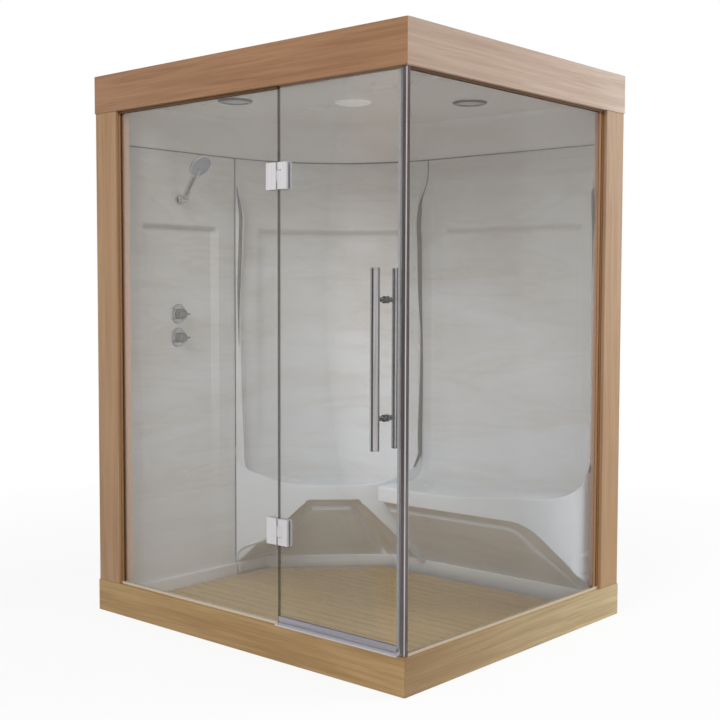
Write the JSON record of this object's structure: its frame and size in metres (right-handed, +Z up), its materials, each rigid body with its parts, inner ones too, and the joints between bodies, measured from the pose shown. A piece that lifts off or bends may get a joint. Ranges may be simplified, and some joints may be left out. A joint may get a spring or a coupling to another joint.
{
  "type": "steam room cabin",
  "caption": "Timber-framed steam shower cabin with a glazed corner, a hinged glass door, moulded acrylic seats, a tilting shower and a slatted floor.",
  "frame": {"origin": "on the floor at the middle of the timber frame's plan", "axes": "+Z up, -Y out through the glass door at the front, +X out through the side glass"},
  "size_m": [1.65, 1.434, 2.2],
  "materials": {
    "front_timber": "satin sealed",
    "frame_timber": "sawn, unsealed",
    "duckboard_timber": "planed, oiled",
    "moulded_acrylic": "glossy, marbled",
    "tray_acrylic": "glossy",
    "clear_glass": "clear, polished",
    "chrome": "mirror polished",
    "steel": "brushed",
    "aluminium": "bright anodised",
    "sweep_metal": "satin",
    "clear_seal": "translucent",
    "gasket_rubber": "matt",
    "lamp_lens": "frosted",
    "brass": "cast",
    "copper": "drawn copper tube",
    "spray_plate": "satin"
  },
  "bodies": {
    "cabin": {"plinth_front": "front_timber", "plinth_right": "front_timber", "plinth_back": "frame_timber", "plinth_left": "frame_timber", "fascia_front": "front_timber", "fascia_right": "front_timber", "top_rails": "frame_timber", "post_front_left": "front_timber", "post_back_right": "front_timber", "wall_studs": "frame_timber", "ceiling_joists": "frame_timber", "base_bearers": "frame_timber", "shower_tray": "tray_acrylic", "waste_body": "steel", "waste_grate": "steel", "duckboard_slats": "duckboard_timber", "duckboard_battens": "duckboard_timber", "left_wall_panel": "moulded_acrylic", "corner_seat_panel": "moulded_acrylic", "back_bench_panel": "moulded_acrylic", "ceiling_panel": "moulded_acrylic", "downlight_bezels": "chrome", "downlight_lenses": "lamp_lens", "light_cans": "steel", "centre_light_diffuser": "lamp_lens", "fixed_front_glass": "clear_glass", "side_glass": "clear_glass", "glass_channels": "aluminium", "corner_profile": "chrome", "strike_seal": "clear_seal", "threshold_bar": "aluminium", "fixed_hinge_outer_plates": "chrome", "fixed_hinge_inner_plates": "chrome", "fixed_hinge_screws": "steel", "fixed_hinge_gaskets": "gasket_rubber", "valve_plates": "chrome", "valve_bodies": "brass", "water_pipes": "copper", "shower_bracket": "chrome", "shower_pivot_pin": "steel", "steam_outlet": "chrome", "steam_inlet_pipe": "copper"},
    "door": {"door_glass": "clear_glass", "door_edge_seal": "clear_seal", "door_sweep": "sweep_metal", "door_hinge_outer_plates": "chrome", "door_hinge_inner_plates": "chrome", "door_hinge_screws": "steel", "door_hinge_gaskets": "gasket_rubber", "hinge_pins": "steel", "handle_outer_bar": "chrome", "handle_inner_bar": "chrome", "handle_standoffs": "chrome", "handle_washers": "gasket_rubber", "handle_studs": "steel"},
    "shower": {"shower_arm": "chrome", "shower_head": "chrome", "shower_spray_face": "spray_plate"},
    "flow_control": {"flow_knob": "chrome"},
    "temperature_control": {"temperature_knob": "chrome"}
  },
  "joints": [
    {"name": "door_swing", "type": "hinge", "parent": "cabin", "child": "door", "pos_m": [0.233, -0.668, 1.1], "axis": [0, 0, -1], "range_deg": [0, 90]},
    {"name": "shower_tilt", "type": "hinge", "parent": "cabin", "child": "shower", "pos_m": [-0.723, -0.31, 1.721], "axis": [0, 1, 0], "range_deg": [-25, 25]},
    {"name": "flow_turn", "type": "hinge", "parent": "cabin", "child": "flow_control", "pos_m": [-0.75, -0.31, 1.23], "axis": [1, 0, 0], "range_deg": [0, 90]},
    {"name": "temperature_turn", "type": "hinge", "parent": "cabin", "child": "temperature_control", "pos_m": [-0.75, -0.31, 1.128], "axis": [1, 0, 0], "range_deg": [-90, 90]}
  ]
}
